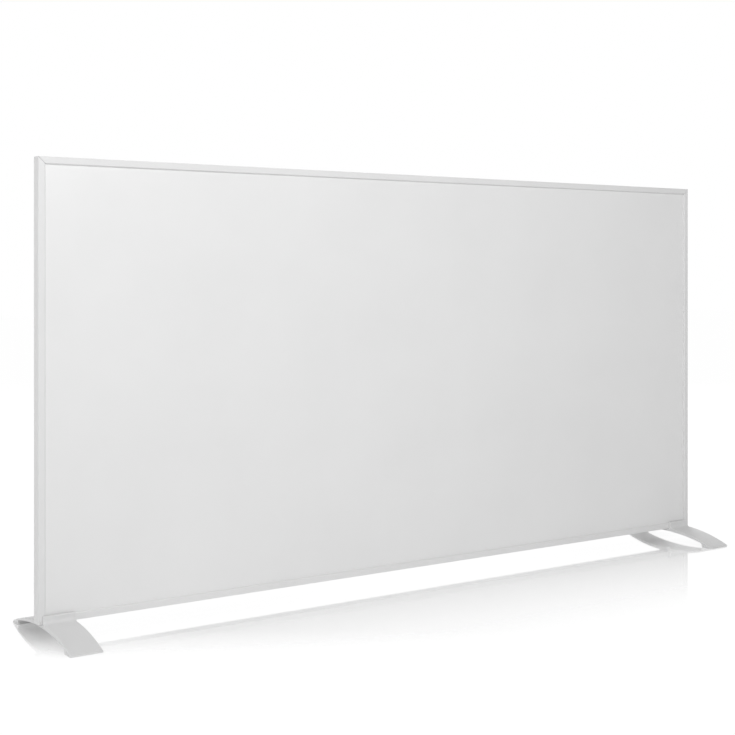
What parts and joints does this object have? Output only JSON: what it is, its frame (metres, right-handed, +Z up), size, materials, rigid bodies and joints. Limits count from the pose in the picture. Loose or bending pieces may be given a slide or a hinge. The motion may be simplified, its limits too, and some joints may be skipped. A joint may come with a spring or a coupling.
{
  "type": "infrared panel heater",
  "caption": "Thin free-standing infrared panel heater: white framed heating panel on arched feet, with a rear control box, push buttons and a rocker switch.",
  "frame": {"origin": "on the floor, under the middle of the panel", "axes": "+X along the panel to the right as seen from the heated side, +Y from the heated side to the back, +Z up"},
  "size_m": [1.2, 0.206, 0.62],
  "materials": {
    "panel_paint": "satin white powder coat, very smooth",
    "back_paint": "fine-textured white powder coat",
    "frame_paint": "satin white powder coat on extruded profile",
    "foot_paint": "satin white powder coat on extruded profile",
    "white_plastic": "finely eroded moulded plastic",
    "button_plastic": "satin moulded plastic",
    "black_plastic": "satin moulded plastic",
    "display_lens": "gloss smoked lens",
    "light_lens": "gloss clear light pipe",
    "steel": "zinc-plated steel",
    "bare_aluminium": "mill finish",
    "copper": "bright copper strip",
    "laminate": "resin-bonded heating laminate",
    "mineral_board": "pressed mineral fibre",
    "rubber": "matt moulded rubber",
    "lead_red": "silicone-insulated lead",
    "lead_blue": "silicone-insulated lead",
    "lead_green": "silicone-insulated lead",
    "board_green": "glass-epoxy circuit board",
    "ceramic": "glazed ceramic body"
  },
  "bodies": {
    "heater": {"back_plate": "back_paint", "base_screws": "steel", "board_screws": "steel", "bus_bar_lower": "copper", "bus_bar_upper": "copper", "capacitor": "black_plastic", "circuit_board": "board_green", "control_base": "white_plastic", "control_cover": "white_plastic", "controller_chip": "black_plastic", "corner_key_bottom_left": "bare_aluminium", "corner_key_bottom_right": "bare_aluminium", "corner_key_top_left": "bare_aluminium", "corner_key_top_right": "bare_aluminium", "corner_screws": "steel", "cover_screws": "steel", "display_module": "black_plastic", "display_window": "display_lens", "earth_lead": "lead_green", "earth_screw": "steel", "earth_tag": "copper", "foot_left": "foot_paint", "foot_pads": "rubber", "foot_right": "foot_paint", "foot_screws": "steel", "frame_bottom": "frame_paint", "frame_left": "frame_paint", "frame_right": "frame_paint", "frame_top": "frame_paint", "front_panel": "panel_paint", "fuse": "black_plastic", "gland_body": "white_plastic", "gland_cap": "white_plastic", "gland_nut": "white_plastic", "gland_seal": "rubber", "heating_laminate": "laminate", "insulation_board": "mineral_board", "lead_grommet": "rubber", "light_pipe": "light_lens", "line_lead": "lead_red", "neutral_lead": "lead_blue", "power_supply": "black_plastic", "reflector_foil": "bare_aluminium", "relay": "black_plastic", "room_sensor": "black_plastic", "status_led": "light_lens", "switch_blades": "copper", "switch_body": "black_plastic", "tact_switches": "black_plastic", "terminal_block": "ceramic", "thermal_cutout_lower": "ceramic", "thermal_cutout_upper": "ceramic", "tilt_switch": "black_plastic", "wall_mount_inserts": "steel"},
    "power_rocker": {"power_rocker": "black_plastic"},
    "button_power": {"button_power": "button_plastic"},
    "button_minus": {"button_minus": "button_plastic"},
    "button_plus": {"button_plus": "button_plastic"},
    "button_mode": {"button_mode": "button_plastic"}
  },
  "joints": [
    {"name": "rocker_hinge", "type": "hinge", "parent": "heater", "child": "power_rocker", "pos_m": [0.5385, 0.02005, 0.12], "axis": [0, 1, 0], "range_deg": [0, 20]},
    {"name": "button_power_press", "type": "slide", "parent": "heater", "child": "button_power", "axis": [0, -1, 0], "range_m": [0, 0.0008], "stiffness_N_per_m": 1500},
    {"name": "button_minus_press", "type": "slide", "parent": "heater", "child": "button_minus", "axis": [0, -1, 0], "range_m": [0, 0.0008], "stiffness_N_per_m": 1500},
    {"name": "button_plus_press", "type": "slide", "parent": "heater", "child": "button_plus", "axis": [0, -1, 0], "range_m": [0, 0.0008], "stiffness_N_per_m": 1500},
    {"name": "button_mode_press", "type": "slide", "parent": "heater", "child": "button_mode", "axis": [0, -1, 0], "range_m": [0, 0.0008], "stiffness_N_per_m": 1500}
  ]
}
